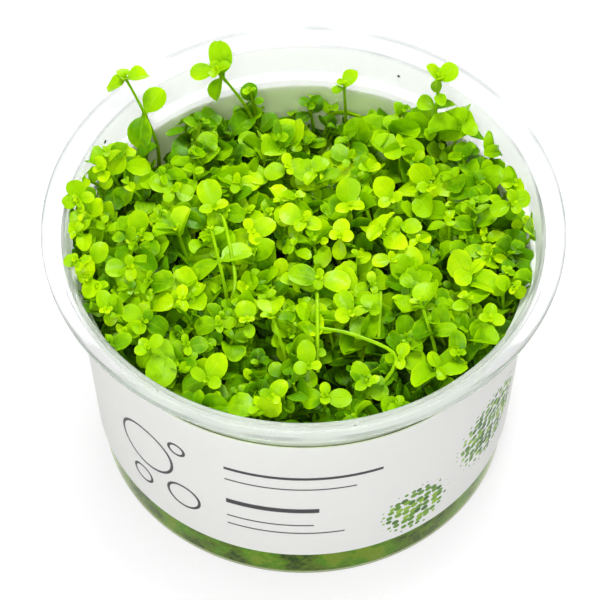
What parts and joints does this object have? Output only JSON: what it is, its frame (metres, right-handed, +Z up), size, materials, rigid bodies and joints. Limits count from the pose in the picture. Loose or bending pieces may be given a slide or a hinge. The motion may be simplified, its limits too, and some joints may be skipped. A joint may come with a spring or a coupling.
{
  "type": "carpet plant in a cup",
  "caption": "Low creeping water plant with round opposite leaves, grown as a dense mat in a clear round cup with a wide lip and a plain wrap-round label.",
  "frame": {"origin": "centre of the underside of the cup, on the surface that it stands on", "axes": "+Z up along the cup's axis, -Y towards the viewer of the picture, +X to the viewer's right"},
  "size_m": [0.1, 0.1, 0.0699],
  "materials": {
    "clear_plastic": "thin clear moulded plastic, smooth and glossy",
    "printed_label": null,
    "growing_gel": "olive-green translucent jelly with fine roots and dark specks, wet and glossy",
    "mat_green": "dark and mid green mass of packed leaves and stems, moist, semi-gloss",
    "leaf_green": "fresh yellow-green leaf, thin, slightly translucent, moist semi-gloss"
  },
  "bodies": {
    "root": {"cup": "clear_plastic", "label": "printed_label", "gel": "growing_gel", "carpet": "mat_green", "shoot_01": "leaf_green", "shoot_02": "leaf_green", "shoot_03": "leaf_green", "shoot_04": "leaf_green", "shoot_05": "leaf_green", "shoot_06": "leaf_green", "shoot_07": "leaf_green", "shoot_08": "leaf_green", "shoot_09": "leaf_green", "shoot_10": "leaf_green", "shoot_11": "leaf_green", "shoot_12": "leaf_green", "shoot_13": "leaf_green", "shoot_14": "leaf_green", "shoot_15": "leaf_green", "shoot_16": "leaf_green", "shoot_17": "leaf_green", "shoot_18": "leaf_green", "shoot_19": "leaf_green", "shoot_20": "leaf_green", "shoot_21": "leaf_green", "shoot_22": "leaf_green", "shoot_23": "leaf_green", "shoot_24": "leaf_green", "shoot_25": "leaf_green", "shoot_26": "leaf_green", "shoot_27": "leaf_green", "shoot_28": "leaf_green", "shoot_29": "leaf_green", "shoot_30": "leaf_green", "shoot_31": "leaf_green", "shoot_32": "leaf_green", "shoot_33": "leaf_green", "shoot_34": "leaf_green", "shoot_35": "leaf_green", "shoot_36": "leaf_green", "shoot_37": "leaf_green", "shoot_38": "leaf_green", "shoot_39": "leaf_green", "shoot_40": "leaf_green", "shoot_41": "leaf_green", "shoot_42": "leaf_green", "shoot_43": "leaf_green", "shoot_44": "leaf_green", "shoot_45": "leaf_green", "shoot_46": "leaf_green", "shoot_47": "leaf_green", "shoot_48": "leaf_green", "shoot_49": "leaf_green", "shoot_50": "leaf_green", "shoot_51": "leaf_green", "shoot_52": "leaf_green", "shoot_53": "leaf_green", "shoot_54": "leaf_green", "shoot_55": "leaf_green", "shoot_56": "leaf_green"}
  },
  "joints": []
}
